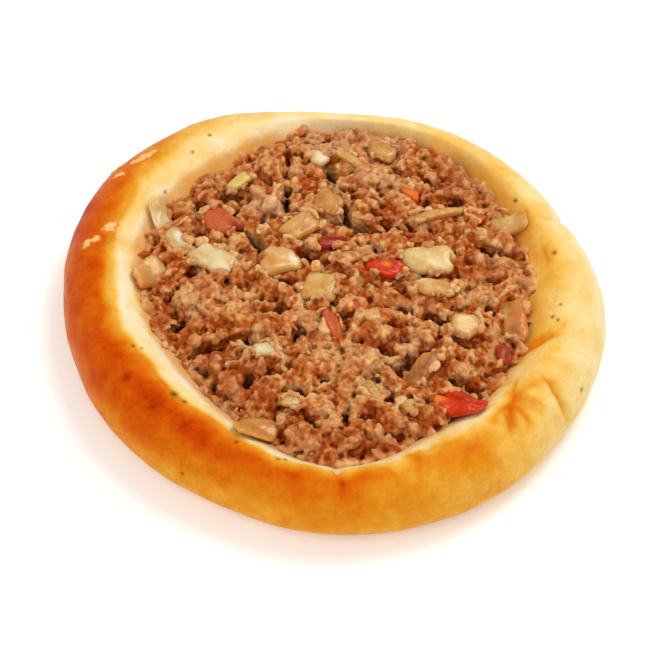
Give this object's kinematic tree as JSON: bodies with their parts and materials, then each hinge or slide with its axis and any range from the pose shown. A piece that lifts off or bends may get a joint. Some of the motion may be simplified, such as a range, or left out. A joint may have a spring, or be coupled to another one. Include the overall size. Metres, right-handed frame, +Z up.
{
  "type": "sfiha",
  "caption": "Open round sfiha: a baked yeast-dough disc with a puffed, browned rim, filled with a heap of crumbled ground beef with diced onion and tomato.",
  "frame": {"origin": "middle of the bounding box in plan, at the underside that rests on the table", "axes": "+Z up out of the open filling; -Y towards the viewer of the usual view"},
  "size_m": [0.1132, 0.11, 0.0184],
  "materials": {
    "crust": "baked bread crust with an egg-washed sheen",
    "beef": "cooked crumbled ground beef, moist",
    "onion": "cooked onion, translucent and glossy",
    "tomato": "cooked tomato, glossy"
  },
  "bodies": {
    "root": {"dough": "crust", "beef": "beef", "onion_01": "onion", "onion_02": "onion", "onion_03": "onion", "onion_04": "onion", "onion_05": "onion", "onion_06": "onion", "onion_07": "onion", "onion_08": "onion", "onion_09": "onion", "onion_10": "onion", "onion_11": "onion", "onion_12": "onion", "onion_13": "onion", "onion_14": "onion", "onion_15": "onion", "onion_16": "onion", "onion_17": "onion", "onion_18": "onion", "tomato_01": "tomato", "tomato_02": "tomato", "tomato_03": "tomato", "tomato_04": "tomato", "tomato_05": "tomato"}
  },
  "joints": []
}
